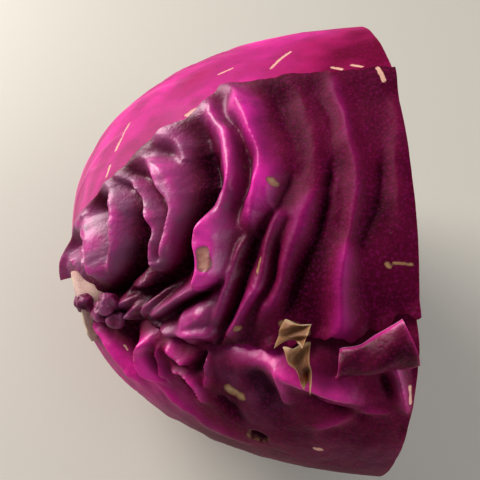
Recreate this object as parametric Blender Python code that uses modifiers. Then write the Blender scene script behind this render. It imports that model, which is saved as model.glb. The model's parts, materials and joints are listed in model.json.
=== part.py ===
"""Half a head of red cabbage, cut across the leaves and lying on its side.

The head is one egg-shaped body. The knife cut is the plane x = CUT_X, the stem points to -X and a
little towards -Y, and the head lies on a small flat spot, whose middle is the origin. Each leaf is a
whole leaf wrapped round that body and then trimmed by the knife.

A place on the head is given by three numbers: an angle round the head, the way from the stem (0) to
the cut (1), and a height above the body's surface. Angle 0 faces +Y, 90 is the top, 180 faces -Y and
270 is underneath.
"""

import math

import bpy
import numpy as np

# Driving dimensions, in metres and degrees
HALF_WIDTH = 0.077          # of the cut face, along Y
HALF_HEIGHT = 0.063         # of the cut face, along Z
DEPTH = 0.094               # from the cut face to the stem end
ROUNDNESS = 2.2             # 2 is an ellipsoid, and more is boxier
LEAN_BACK = 0.08            # how far the body swells towards +Y near the stem
LEAN_DOWN = 0.20            # and towards -Z
SKEW = 0.06                 # the cut face's outline is fuller low at the back
TRIAD = 0.027               # and slightly three-sided
CUT_X = 0.024
CENTRE_Y = -0.0135          # the cut face's centre lies nearer the front than the flat spot does
REST_HEIGHT = 0.0605        # and this high above the table
REST_BLEND = 0.0025         # how softly the flat spot runs out
STEM_TURN = 22.0            # the stem's direction, turned from -X towards -Y
STEM_RISE = 3.0             # and up

# Wrapper leaves
LEAF_START = 0.13           # where the leaves leave the stem
PAST_CUT = 1.06             # whole leaves reach past the knife
WRAP_THICK = 0.0013
GAP = 0.0006
TUCK = 0.0042               # how far a tucked margin lies under the leaf that covers it
CREASE = 146.0              # the angle of the torn crease at the pleated leaf's lower margin
PLEAT_LEVEL = 0.0022        # how far the valleys between the pleats lie below the body's surface

# Packed leaves
PACK_LEAVES = 14
PACK_THICK = 0.0036         # along the middle of a leaf
PACK_EDGE = 0.0014          # at its margins
RIB = 0.0016                # what the midrib adds near the stem
TURN = 135.0                # from one leaf to the next, three eighths of the way round
COLUMN = 9.0                # the angle between the grid's columns, the same in every packed leaf
SPREAD = 12 * COLUMN        # half of the angle that a packed leaf spans
ROWS = 7

# Stem
CORE_DEPTH = 0.043          # how far it runs in, to the folded heart
CORE_ANGLE = 7.6            # half the angle of its taper
STEM_PROUD = 0.0015

COLOURS = {
    "dark_leaf": ((0.150, 0.012, 0.075, 1), 0.36),
    "bright_leaf": ((0.420, 0.008, 0.200, 1), 0.40),
    "rosy_leaf": ((0.300, 0.008, 0.130, 1), 0.38),
    "packed_leaf": ((0.260, 0.020, 0.160, 1), 0.45),
    "stem_flesh": ((0.800, 0.700, 0.500, 1), 0.60),
    "dry_leaf": ((0.420, 0.270, 0.090, 1), 0.55),
}

CENTRE = np.array([CUT_X, CENTRE_Y, REST_HEIGHT])
turn, rise = math.radians(STEM_TURN), math.radians(STEM_RISE)
STEM_WAY = np.array([-math.cos(rise) * math.cos(turn), -math.cos(rise) * math.sin(turn), math.sin(rise)])


# ---- the head's body ----

def ways(angle, along):
    """Unit vectors from the cut face's centre, swung from the stem (along 0) to the cut (along 1)."""
    angle, along = np.broadcast_arrays(np.radians(angle), along)
    rim = np.stack([np.zeros_like(angle), np.cos(angle), np.sin(angle)], -1)
    span = np.arccos(np.clip(rim @ STEM_WAY, -1, 1))
    near_stem = np.sin((1 - along) * span) / np.sin(span)
    near_rim = np.sin(along * span) / np.sin(span)
    return near_stem[..., None] * STEM_WAY + near_rim[..., None] * rim


def reach(way):
    """Distance from the cut face's centre to the body's surface."""
    angle = np.arctan2(way[..., 2], way[..., 1])
    rim = 1 / np.hypot(np.cos(angle) / HALF_WIDTH, np.sin(angle) / HALF_HEIGHT)
    rim = rim * (1 - SKEW * np.sin(2 * angle) - TRIAD * np.cos(3 * angle))
    out, back = np.hypot(way[..., 1], way[..., 2]), np.abs(way[..., 0])
    body = ((back / DEPTH) ** ROUNDNESS + (out / rim) ** ROUNDNESS) ** (-1 / ROUNDNESS)
    return body * (1 + (LEAN_BACK * way[..., 1] - LEAN_DOWN * way[..., 2]) * back)


def on_head(angle, along, height):
    """Points on the head, pressed flat where they would go below the table."""
    way = ways(angle, along)
    points = CENTRE + (reach(way) + height)[..., None] * way
    depth = np.minimum(height, 0)
    above = points[..., 2] + depth
    soft = np.where(above < -REST_BLEND, 0, (above + REST_BLEND) ** 2 / (4 * REST_BLEND))
    points[..., 2] = np.where(above > REST_BLEND, above, soft) - depth
    return points


def ease(value, start, end):
    """0 at start, 1 at end, and smooth between."""
    share = np.clip((value - start) / (end - start), 0, 1)
    return share * share * (3 - 2 * share)


# ---- materials and objects ----

def material(name):
    colour, roughness = COLOURS[name]
    made = bpy.data.materials.get(name) or bpy.data.materials.new(name)
    made.use_nodes = True
    shader = made.node_tree.nodes["Principled BSDF"]
    shader.inputs["Base Color"].default_value = colour
    shader.inputs["Roughness"].default_value = roughness
    shader.inputs["Metallic"].default_value = 0.0
    return made


def into(collection, obj):
    for other in list(obj.users_collection):
        other.objects.unlink(obj)
    collection.objects.link(obj)


def apply_knife(obj):
    """Trims a whole leaf at the cut, which leaves a flat face there."""
    cut = obj.modifiers.new("knife", "BOOLEAN")
    cut.operation = "DIFFERENCE"
    cut.object = knife


def sheet(name, columns, rows):
    """A flat slab of thickness 1, as wide and long as 1, to be laid on the head."""
    bpy.ops.mesh.primitive_grid_add(x_subdivisions=columns, y_subdivisions=rows, size=1)
    obj = bpy.context.object
    obj.name = name
    slab = obj.modifiers.new("slab", "SOLIDIFY")
    slab.thickness = 1
    slab.offset = -1
    bpy.ops.object.modifier_apply(modifier="slab")
    return obj


def leaf(name, finish, margins, depths, thickness, columns, rows, start=LEAF_START, end=PAST_CUT):
    """A leaf: a flat slab laid on the head and cut.

    margins(along) gives the angles of its two margins, depths(angle, along) how far its outer face
    lies below the body's surface, and thickness(angle) how thick it is.
    """
    obj = sheet(name, columns, rows)
    flat = np.array([v.co[:] for v in obj.data.vertices])
    along = start + (end - start) * (flat[:, 1] + 0.5)
    low, high = margins(along)
    angle = low + (high - low) * (flat[:, 0] + 0.5)
    inner = flat[:, 2] < -0.5
    depth = depths(angle, along) + np.where(inner, thickness(angle, along), 0)
    obj.data.vertices.foreach_set("co", on_head(angle, along, -depth).ravel())
    apply_knife(obj)
    obj.data.materials.append(material(finish))
    obj.data.shade_smooth()
    into(head, obj)
    return obj


def wrap_thickness(angle, along):
    return WRAP_THICK + 0 * angle


# ---- the pleated leaf ----

# Each pleat runs from one place to another: angle, along, angle, along, height, half width (of along)
PLEATS = (
    (64, 0.24, 112, 0.16, 0.0036, 0.055),
    (70, 0.42, 118, 0.28, 0.0042, 0.060),
    (72, 0.56, 124, 0.41, 0.0042, 0.060),
    (76, 0.68, 130, 0.54, 0.0038, 0.055),
    (80, 0.80, 134, 0.67, 0.0030, 0.050),
    (86, 0.90, 136, 0.80, 0.0024, 0.045),
)


def pleat_height(angle, along):
    """How far the pleats stand above the leaf's lowest level."""
    total = np.zeros_like(angle)
    for angle_a, along_a, angle_b, along_b, height, half in PLEATS:
        share = (angle - angle_a) / (angle_b - angle_a)
        ridge = along_a + (along_b - along_a) * share
        ends = ease(share, -0.15, 0.15) * (1 - ease(share, 0.85, 1.15))
        total = np.maximum(total, height * ends * np.exp(-((along - ridge) / half) ** 2))
    return total


def pleated_margin(along):
    """The angle of the pleated leaf's upper margin."""
    return 57 + 27 * along ** 1.2


def pleated_leaf():
    def margins(along):
        return pleated_margin(along), CREASE + 0 * along

    def depths(angle, along):
        return PLEAT_LEVEL - pleat_height(angle, along)

    return leaf("pleated_wrapper_leaf", "dark_leaf", margins, depths, wrap_thickness, 26, 28)


# ---- the smooth leaf behind it, and the leaf below ----

def back_depth(angle, along):
    margin = pleated_margin(along)
    return TUCK * np.maximum(ease(angle - margin, -22, -3), 1 - ease(angle, -22, -4))


def back_leaf():
    def margins(along):
        return -38 + 0 * along, 108 + 0 * along

    return leaf("smooth_wrapper_leaf", "bright_leaf", margins, back_depth, wrap_thickness, 20, 9)


def under_depth(angle, along):
    waves = ease(angle, 163, 170) * (1 - ease(angle, 185, 205)) * np.sin(along * 34 + angle / 9)
    return 0.0006 * np.abs(waves) + TUCK * (1 - ease(angle, CREASE + 3, CREASE + 16))


def under_leaf():
    def margins(along):
        return 117 + 0 * along, 333 + 0 * along

    return leaf("lower_wrapper_leaf", "rosy_leaf", margins, under_depth, wrap_thickness, 27, 9)


# ---- the packed leaves inside ----

def offset_from(angle, middle):
    """The angle from middle, between -180 and 180."""
    return (np.asarray(angle) - middle + 180) % 360 - 180


def packed_thickness(angle, along, number):
    away = offset_from(angle, TURN * number) / SPREAD
    rib = RIB * np.exp(-(away / 0.13) ** 2) * (1.1 - along)
    return PACK_EDGE + (PACK_THICK - PACK_EDGE) * np.clip(1 - away ** 2, 0, 1) + rib


def pack_depth(angle, along, leaves):
    """Depth of the pack's surface once this many leaves are laid on, from outside in."""
    single = 0.0006 + WRAP_THICK + GAP + 0.0004
    front = ease(offset_from(angle, 98), -66, -44) * (1 - ease(offset_from(angle, 98), 54, 70))
    below = ease(offset_from(angle, 333), -26, -8) * (1 - ease(offset_from(angle, 333), 14, 32))
    depth = single + TUCK * np.maximum(front, below)
    for number in range(leaves):
        away = np.abs(offset_from(angle, TURN * number)) / SPREAD
        depth = depth + (packed_thickness(angle, along, number) + GAP) * (1 - ease(away, 1.0, 1.25))
    return depth


def packed_leaf(number):
    middle = TURN * number

    def margins(along):
        return middle - SPREAD + 0 * along, middle + SPREAD + 0 * along

    def depths(angle, along):
        return pack_depth(angle, along, number)

    def thickness(angle, along):
        return packed_thickness(angle, along, number)

    columns = round(2 * SPREAD / COLUMN)
    return leaf(f"packed_leaf_{number + 1:02d}", "packed_leaf", margins, depths, thickness, columns, ROWS)


def heart():
    """The youngest leaves, folded too tightly to come apart: one body inside the last packed leaf."""
    bpy.ops.mesh.primitive_uv_sphere_add(segments=40, ring_count=20, radius=1)
    obj = bpy.context.object
    obj.name = "folded_heart"
    unit = np.array([v.co[:] for v in obj.data.vertices])
    along = np.arccos(np.clip(unit[:, 2], -1, 1)) / (math.pi / 2)
    angle = np.degrees(np.arctan2(unit[:, 1], unit[:, 0]))
    depth = pack_depth(angle, along, PACK_LEAVES) + 2.5 * GAP
    depth = CORE_DEPTH + 2 * GAP + (depth - CORE_DEPTH - 2 * GAP) * ease(along, LEAF_START, 0.32)
    points = on_head(angle, np.minimum(along, 1.2), -depth)
    points[along > 1.25] = CENTRE + [0.02, 0, 0]
    obj.data.vertices.foreach_set("co", points.ravel())
    apply_knife(obj)
    obj.data.materials.append(material("packed_leaf"))
    obj.data.shade_smooth()
    into(head, obj)
    return obj


# ---- stem, flap and dry scrap ----

def stem():
    """The cut stump, with the core that tapers in from it to the folded heart."""
    outer = float(reach(STEM_WAY)) + STEM_PROUD
    inner = float(reach(STEM_WAY)) - CORE_DEPTH + GAP
    taper = math.tan(math.radians(CORE_ANGLE))
    bpy.ops.mesh.primitive_cone_add(vertices=32, radius1=inner * taper, radius2=outer * taper,
                                    depth=outer - inner)
    obj = bpy.context.object
    obj.name = "stem_and_core"
    obj.location = CENTRE + STEM_WAY * (outer + inner) / 2
    obj.rotation_euler = (0, math.acos(STEM_WAY[2]), math.atan2(STEM_WAY[1], STEM_WAY[0]))
    edges = obj.modifiers.new("worn_edge", "BEVEL")
    edges.width = 0.0010
    edges.segments = 2
    obj.data.materials.append(material("stem_flesh"))
    obj.data.shade_smooth()
    into(head, obj)
    return obj


def flap():
    """A torn strip of leaf that has folded back over the crease, next to the cut."""
    def margins(along):
        return CREASE + 3 - 38 * (along - 0.82), CREASE + 5 + 0 * along

    def depths(angle, along):
        return -0.0026 - 0.0008 * np.sin(np.radians((angle - CREASE) * 20))

    def thickness(angle, along):
        return 0.0011 + 0 * angle

    return leaf("folded_flap", "rosy_leaf", margins, depths, thickness, 8, 8, start=0.82)


def dry_scrap():
    """A dried, curled corner of leaf on the crease."""
    def margins(along):
        return 139 + 100 * (along - 0.68), 149 + 8 * (along - 0.68)

    def depths(angle, along):
        return -0.0030 - 0.00002 * (angle - 144) ** 2

    def thickness(angle, along):
        return 0.0009 + 0 * angle

    return leaf("dried_scrap", "dry_leaf", margins, depths, thickness, 7, 7, start=0.68, end=0.755)


# ---- building ----

for old in list(bpy.data.objects):
    bpy.data.objects.remove(old)
head = bpy.data.collections.new("cabbage_head")
tools = bpy.data.collections.new("cutters")
bpy.context.scene.collection.children.link(head)
bpy.context.scene.collection.children.link(tools)

bpy.ops.mesh.primitive_cube_add(size=0.3, location=(CUT_X + 0.15, 0, REST_HEIGHT))
knife = bpy.context.object
knife.name = "knife"
knife.hide_render = True
knife.display_type = "WIRE"
into(tools, knife)

pleated_leaf()
back_leaf()
under_leaf()
for count in range(PACK_LEAVES):
    packed_leaf(count)
heart()
stem()
flap()
dry_scrap()
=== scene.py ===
# %% [markdown]
# # Half a head of red cabbage
# A red cabbage grows as one bud: leaf lies over leaf, each a quarter turn or more on from the last,
# round a thick stem. This head was cut across its leaves and lies on its round side. The lesson builds
# its looks on the solids of the frame: first the body that every leaf is wrapped round, then the
# leaves from outside in, then the stem, and last the light and the camera.

# %% Load the frame
import json
import math

import bpy
import numpy as np
from mathutils import Matrix


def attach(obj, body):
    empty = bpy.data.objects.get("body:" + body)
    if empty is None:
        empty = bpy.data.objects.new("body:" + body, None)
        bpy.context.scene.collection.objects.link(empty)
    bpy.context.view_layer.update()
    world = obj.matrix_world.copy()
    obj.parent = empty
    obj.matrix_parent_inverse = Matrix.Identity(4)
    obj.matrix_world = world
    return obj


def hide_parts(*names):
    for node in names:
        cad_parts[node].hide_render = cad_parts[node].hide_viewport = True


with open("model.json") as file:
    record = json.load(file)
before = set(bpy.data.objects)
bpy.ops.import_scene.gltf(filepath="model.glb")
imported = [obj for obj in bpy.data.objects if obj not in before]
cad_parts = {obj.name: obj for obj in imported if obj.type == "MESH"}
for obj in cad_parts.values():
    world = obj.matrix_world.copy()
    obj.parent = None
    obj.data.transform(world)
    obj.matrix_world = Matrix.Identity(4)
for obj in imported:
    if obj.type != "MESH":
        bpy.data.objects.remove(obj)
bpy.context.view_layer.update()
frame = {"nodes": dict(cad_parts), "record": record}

print("the frame holds", len(frame["nodes"]), "pieces")

# %% [markdown]
# ## The body under the leaves
# Every leaf takes its shape from the head it grew on, so one formula for the head keeps them all
# together. It could be a sculpted mesh, but a formula can also be asked for a point at any depth,
# which is what nested leaves need. A place is an angle round the head (0 faces +Y, 90 is the top,
# 180 faces the front), a share of the way from the stem (0) to the cut (1), and a height.

# %% Where the head is
mounts = {mount["name"]: mount for mount in frame["record"]["mounts"]}
CENTRE = np.array(mounts["cut_face"]["pos_m"])
MM = 0.001
HALF_WIDTH, HALF_HEIGHT, DEPTH = 77 * MM, 63 * MM, 94 * MM
# 2 would be an ellipsoid, and more is boxier
ROUNDNESS = 2.2
# how much the far side and the lower side bulge
LEAN_BACK, LEAN_DOWN = 0.08, 0.20
# how far the outline of the cut is from an ellipse
SKEW, TRIAD = 0.06, 0.027
# how softly the underside turns into the flat patch that it rests on
REST_BLEND = 2.5 * MM
CORE_DEPTH, STEM_RADIUS = 43 * MM, 11 * MM
turn, rise = math.radians(22), math.radians(3)
flat = math.cos(rise)
STEM_WAY = np.array([-flat * math.cos(turn), -flat * math.sin(turn), math.sin(rise)])
print("the cut face's centre is at", CENTRE.round(4), "and the stem points to", STEM_WAY.round(2))


# %% [markdown]
# ## One set of formulas, for arrays and for nodes
# Some leaves are worked out in numpy and some in Geometry Nodes, and both need the head's formula.
# Building the nodes by hand beside the numpy would mean two copies that drift apart. Instead a Wire
# stands for a socket, and a sum written with wires adds the Math nodes that work it out.


# %% Wires
class Wire:
    """A number in a node tree. Sums written with wires become Math nodes."""

    def __init__(self, tree, socket):
        self.tree, self.socket = tree, socket

    def math(self, operation, *others):
        node = self.tree.nodes.new("ShaderNodeMath")
        node.operation = operation
        for entry, value in zip(node.inputs, (self, *others)):
            plug(self.tree, value, entry)
        return Wire(self.tree, node.outputs[0])

    def __add__(self, other):
        return self.math("ADD", other)

    def __mul__(self, other):
        return self.math("MULTIPLY", other)

    def __sub__(self, other):
        return self.math("SUBTRACT", other)

    def __rsub__(self, other):
        return self * -1 + other

    def __truediv__(self, other):
        return self.math("DIVIDE", other)

    def __pow__(self, other):
        return self.math("POWER", other)

    def __gt__(self, other):
        return self.math("GREATER_THAN", other)

    def __mod__(self, other):
        return self.math("FLOORED_MODULO", other)

    __radd__, __rmul__ = __add__, __mul__


def plug(tree, value, entry):
    """Joins a wire to a node's input, or sets the input to a plain value."""
    if isinstance(value, Wire):
        tree.links.new(value.socket, entry)
    else:
        entry.default_value = value


def either(operation, function):
    """A function that works on wires and on arrays."""
    def work(first, *others):
        if isinstance(first, Wire):
            return first.math(operation, *others)
        return function(first, *others)
    return work


sin, cos, arccos = either("SINE", np.sin), either("COSINE", np.cos), either("ARCCOSINE", np.arccos)
arctan2, absolute = either("ARCTAN2", np.arctan2), either("ABSOLUTE", np.abs)
largest, smallest = either("MAXIMUM", np.maximum), either("MINIMUM", np.minimum)
print("half of 90 degrees has the sine", sin(np.radians(45)).round(3))


# %% Points on the head
def ease(value, start, end):
    """0 at start, 1 at end, and smooth between."""
    share = smallest(largest((value - start) / (end - start), 0), 1)
    return share * share * (3 - 2 * share)


def head_way(angle, along):
    """The direction of a place on the head: swung from the stem (along 0) to the cut (along 1)."""
    angle = angle * (math.pi / 180)
    rim_y, rim_z = cos(angle), sin(angle)
    span = arccos(rim_y * STEM_WAY[1] + rim_z * STEM_WAY[2])
    near_stem = sin((1 - along) * span) / sin(span)
    near_rim = sin(along * span) / sin(span)
    return (near_stem * STEM_WAY[0], near_stem * STEM_WAY[1] + near_rim * rim_y,
            near_stem * STEM_WAY[2] + near_rim * rim_z)


def reach(x, y, z):
    """Distance from the cut face's centre to the head's surface, that way."""
    angle = arctan2(z, y)
    rim = ((cos(angle) / HALF_WIDTH) ** 2 + (sin(angle) / HALF_HEIGHT) ** 2) ** -0.5
    rim = rim * (1 - SKEW * sin(2 * angle) - TRIAD * cos(3 * angle))
    out, back = (y * y + z * z) ** 0.5, absolute(x)
    body = ((back / DEPTH) ** ROUNDNESS + (out / rim) ** ROUNDNESS) ** (-1 / ROUNDNESS)
    return body * (1 + (LEAN_BACK * y - LEAN_DOWN * z) * back)


def head_place(angle, along, height):
    """x, y and z of a place on the head, pressed flat where it would go below the table."""
    x, y, z = head_way(angle, along)
    length = reach(x, y, z) + height
    depth = smallest(height, 0)
    above = z * length + CENTRE[2] + depth
    clear = above > REST_BLEND
    soft = largest(above + REST_BLEND, 0) ** 2 / (4 * REST_BLEND)
    return x * length + CENTRE[0], y * length + CENTRE[1], clear * above + (1 - clear) * soft - depth


def on_head(angle, along, height=0.0):
    angle, along, height = np.broadcast_arrays(np.asarray(angle, float), along, height)
    return np.stack(head_place(angle, along, height), -1)


print("the stem's end is at", on_head(0, 0).round(4))

# %% [markdown]
# ## Unevenness
# Nothing that grew is even. Blender's noise textures serve the materials, but the leaves' shapes are
# worked out in numpy, so they need a noise of their own: random values on a lattice, blended between.


# %% Noise
def noise(points, size, seed):
    """Smooth random values from -1 to 1, which change over about this size."""
    spots = points / size + 31.7 * seed
    cell = np.floor(spots)
    share = spots - cell
    share = share * share * (3 - 2 * share)
    total = np.zeros(points.shape[:-1])
    for corner in np.ndindex(2, 2, 2):
        mixed = np.sin((cell + corner) @ np.array([127.1, 311.7, 74.7]) + seed) * 43758.5453
        weight = np.where(corner, share, 1 - share).prod(-1)
        total += weight * (mixed - np.floor(mixed))
    return 2 * total - 1


def rough_noise(points, size, seed):
    """Noise with finer noise on it."""
    return (noise(points, size, seed) + 0.5 * noise(points, size / 2, seed + 1)
            + 0.25 * noise(points, size / 4, seed + 2)) / 1.75


def shake(points, amount, size, seed):
    """Moves places about a little, so that nothing drawn on them runs quite straight."""
    return points + amount * np.stack([noise(points, size, seed + axis) for axis in range(3)], -1)


trial = noise(on_head(np.linspace(0, 360, 500), 0.5), 10 * MM, 1)
print("noise runs from", trial.min().round(2), "to", trial.max().round(2))

# %% [markdown]
# ## Folds
# As it wilts, the outermost leaf shrinks along its ribs and puckers into folds that run down from its
# upper margin. Cloth simulation would fold it too, but not where this leaf did. So each fold is drawn
# as a line on the head through a few places (angle, along), with a height and a width, and a leaf's
# height is read from its distance to those lines.


# %% Lines on the head
def line_on_head(places, pieces=12):
    """A smooth line through places on the head, as the points between its straight pieces."""
    places = np.array(places, float)
    steps = np.linspace(0, len(places) - 1, pieces + 1)
    drawn = np.stack([np.interp(steps, range(len(places)), column) for column in places.T], -1)
    for _ in range(2):
        drawn[1:-1] = (drawn[:-2] + 2 * drawn[1:-1] + drawn[2:]) / 4
    return on_head(drawn[:, 0], drawn[:, 1])


def pieces_of(points, line):
    """For each piece of the line: how far off every point is, and where along the line (0 to 1)."""
    for index, (start, end) in enumerate(zip(line[:-1], line[1:])):
        step = end - start
        share = np.clip((points - start) @ step / (step @ step), 0, 1)
        away = np.linalg.norm(points - start - share[..., None] * step, axis=-1)
        yield away, (index + share) / (len(line) - 1)


def folds(points, lines, tips=0.16, crisp=0.3):
    """The joint height of several folds: where two meet, the higher one wins, softly.

    A fold is a broad swell with a narrow crest on it, whose share of the height is crisp.
    """
    total = np.zeros(points.shape[:-1])
    uneven = 1 + 0.35 * noise(points, 11 * MM, 51)
    for height, width, *places in lines:
        fold = np.zeros(points.shape[:-1])
        for away, place in pieces_of(points, line_on_head(places)):
            ends = ease(place, -tips, tips) * (1 - ease(place, 1 - tips, 1 + tips))
            near = (away / (width * MM * uneven)) ** 2
            section = (1 - crisp) * np.exp(-near) + crisp * np.exp(-near * 6)
            fold = np.maximum(fold, ends * section)
        total += (height * MM * uneven ** 0.5 * fold) ** 3
    return np.cbrt(total)


def marks(points, lines):
    """How strongly spots and streaks show: 1 on their lines, falling to 0 a width away."""
    total = np.zeros(points.shape[:-1])
    for width, *places in lines:
        for away, _ in pieces_of(points, line_on_head(places, 6)):
            total = np.maximum(total, np.exp(-(away / (width * MM)) ** 4))
    return total


def wrinkles(angle, along, seed):
    """Fine wrinkles that run round the head, from -1 to 1."""
    stretched = np.stack([angle * 0.5 * MM, along * 95 * MM, 0 * angle], -1)
    return 0.6 * noise(stretched, 3.6 * MM, seed) + 0.4 * noise(stretched, 1.9 * MM, seed + 1)


print("a fold's line has", len(line_on_head([(60, 0.3), (120, 0.5)])), "points")

# %% [markdown]
# ## A leaf as a closed sheet
# A leaf is thin but not without thickness: its cut edge shows white flesh between two purple skins.
# Solidify could thicken a single sheet, but here both faces come from the same formula at two depths,
# so that leaves nest without touching. The sheet carries named values for its material. Skin tells
# the outer face (1) from the flesh within. Crest says how high a fold stands, and the material paints
# shade into the hollows and light onto the folds by it. Bloom, dull, scar, dry and vein say how strongly
# each of those shows; the bloom is partly grey wax and partly painted sheen.


# %% Leaf mesh
def unit_grid(rows, columns):
    """Two shares from 0 to 1 for every point of a grid: down its rows and across its columns."""
    return np.meshgrid(np.linspace(0, 1, rows), np.linspace(0, 1, columns), indexing="ij")


def grid_faces(columns, rows):
    """The faces of a closed slab: an outer grid of points, then an inner one, joined at the rim."""
    index = np.arange(columns * rows).reshape(rows, columns)
    corners = [index[:-1, :-1], index[:-1, 1:], index[1:, 1:], index[1:, :-1]]
    outer = np.stack(corners, -1).reshape(-1, 4)
    inner = outer[:, ::-1] + columns * rows
    rim = np.concatenate([index[0], index[1:, -1], index[-1, -2::-1], index[-2:0:-1, 0]])
    after = np.roll(rim, -1)
    sides = np.stack([rim, rim + columns * rows, after + columns * rows, after], -1)
    return np.concatenate([outer, inner, sides])


def tube_faces(columns, rows):
    """The faces between rings of points, and the points' numbers, ring by ring."""
    index = np.arange(columns * rows).reshape(rows, columns)
    after = np.roll(index, -1, 1)
    return np.stack([index[:-1], index[1:], after[1:], after[:-1]], -1).reshape(-1, 4), index


def mesh_object(name, points, faces, values):
    """An object at the origin from points and faces, with named values on its points."""
    mesh = bpy.data.meshes.new(name)
    mesh.from_pydata(points.reshape(-1, 3).tolist(), [], [list(face) for face in faces])
    for key, value in values.items():
        attribute = mesh.attributes.new(key, "FLOAT", "POINT")
        attribute.data.foreach_set("value", np.ravel(value).astype(np.float32))
    mesh.shade_smooth()
    mesh.set_sharp_from_angle(angle=math.radians(50))
    obj = bpy.data.objects.new(name, mesh)
    bpy.context.scene.collection.objects.link(obj)
    return obj


def round_stem(first, last):
    """The (across, along) places where a leaf between two angles meets the stem's side."""
    across = np.linspace(0, 1, 25)
    angles = np.radians(first + (last - first) * across)
    span = np.arccos(np.cos(angles) * STEM_WAY[1] + np.sin(angles) * STEM_WAY[2])
    return list(zip(across, 0.97 * STEM_RADIUS / reach(*STEM_WAY) / span))


def leaf(name, margins, shape, thickness, columns, rows, starts, dense=(0.5, 0.5)):
    """A leaf between two margins. shape(angle, along, points) gives its height and its values.

    starts holds (across, along) places: how near the stem the leaf begins, from margin to margin.
    dense says what share of the columns covers what share of the width, from the first margin.
    """
    share, across = unit_grid(rows, columns)
    across = np.interp(across, [0, dense[0], 1], [0, dense[1], 1])
    start = np.interp(across, *zip(*starts))
    along = start + (1 - start) * share
    low, high = margins(along)
    angle = low + (high - low) * across
    height, values = shape(angle, along, on_head(angle, along))
    edge = 1 - 0.6 * np.abs(2 * across - 1) ** 12
    outer = on_head(angle, along, height)
    inner = on_head(angle, along, height - thickness * edge)
    points = np.stack([outer, inner])
    faces = grid_faces(columns, rows)
    both = {key: np.stack([value, value]) for key, value in values.items()}
    inside = ease(np.minimum(across, 1 - across), 0, 0.015) * ease(share, 0, 0.02)
    both["skin"] = np.stack([np.ones_like(angle), 1 - inside])
    obj = mesh_object(name, points, faces, both)
    print(name, "has", len(faces), "faces and stands", (height.max() / MM).round(1), "mm proud")
    return obj


# %% [markdown]
# ## The pleated leaf
# The outermost leaf is dark, and deeply folded towards the stem. Its upper margin lies on the smooth
# leaf behind it, and its lower one ends in a torn crease. The high folds come first, from the stem
# end to the cut, then the pinched valleys between them, and then small puckers from noise.

# %% Margins of the pleated leaf
TOP_MARGIN = [(0.04, 8), (0.10, 30), (0.15, 44), (0.20, 52), (0.27, 59), (0.42, 64), (0.50, 66),
              (0.56, 63), (0.62, 67), (0.70, 72), (0.80, 79), (0.90, 84), (1.00, 89)]
CREASE = [(0.04, 130), (0.14, 137), (0.26, 142), (0.40, 147), (0.50, 148), (0.65, 146.5), (0.80, 144.5),
          (1.00, 142)]


def margin(places, along):
    """A margin's angle, through (along, angle) places."""
    stops, angles = zip(*places)
    return np.interp(along, stops, angles)


print("the crease runs from", CREASE[0][1], "to", CREASE[-1][1], "degrees")

# %% Folds of the pleated leaf
# height, width (mm), then places (angle, along)
RIDGES = [
    (4.4, 6.6, (16, 0.05), (50, 0.09), (80, 0.12), (102, 0.15)),
    (6.2, 6.0, (40, 0.15), (62, 0.155), (84, 0.15), (104, 0.14)),
    (6.2, 3.0, (56, 0.25), (76, 0.235), (94, 0.21), (108, 0.17)),
    (5.6, 2.4, (60, 0.275), (78, 0.308), (94, 0.325), (103, 0.32), (111, 0.30), (120, 0.32)),
    (6.2, 4.4, (66, 0.345), (80, 0.365), (92, 0.38), (106, 0.36), (117, 0.33)),
    (4.6, 4.0, (60, 0.40), (72, 0.42), (82, 0.41)),
    (5.6, 4.6, (62, 0.50), (84, 0.525), (96, 0.535), (102, 0.525), (107, 0.485), (113, 0.465)),
    (6.4, 4.6, (106, 0.49), (113, 0.465), (119, 0.465), (125, 0.47), (130, 0.455)),
    (5.0, 2.6, (128, 0.455), (131, 0.40), (135, 0.345), (140, 0.295)),
    (5.4, 6.2, (62, 0.56), (84, 0.60), (96, 0.612), (106, 0.615), (113, 0.575)),
    (1.0, 3.4, (70, 0.72), (90, 0.745), (107, 0.75)),
    (1.9, 2.4, (78, 0.833), (92, 0.842), (104, 0.842), (114, 0.852), (122, 0.84), (129, 0.808)),
    (3.8, 3.2, (126, 0.815), (136, 0.80), (144, 0.81)),
    (2.8, 5.0, (110, 0.76), (116, 0.72), (124, 0.69), (132, 0.665), (139, 0.62)),
    (3.2, 3.2, (113, 0.655), (119, 0.635), (127, 0.615), (133, 0.585)),
    (4.0, 2.6, (131, 0.605), (137, 0.575), (145, 0.52)),
    (3.4, 2.6, (118, 0.56), (126, 0.535), (131, 0.515), (143, 0.48)),
    (4.6, 4.6, (136, 0.45), (139, 0.40)),
    (4.4, 2.2, (120, 0.34), (126, 0.31), (133, 0.285), (139, 0.262)),
    (4.8, 2.2, (144, 0.50), (142, 0.44), (144, 0.38), (144, 0.33)),
    (5.0, 3.2, (120, 0.27), (126, 0.215), (134, 0.17)),
    (4.4, 2.6, (133, 0.24), (140, 0.21)),
    (0.9, 2.4, (96, 0.985), (112, 0.965), (128, 0.955)),
]
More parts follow.
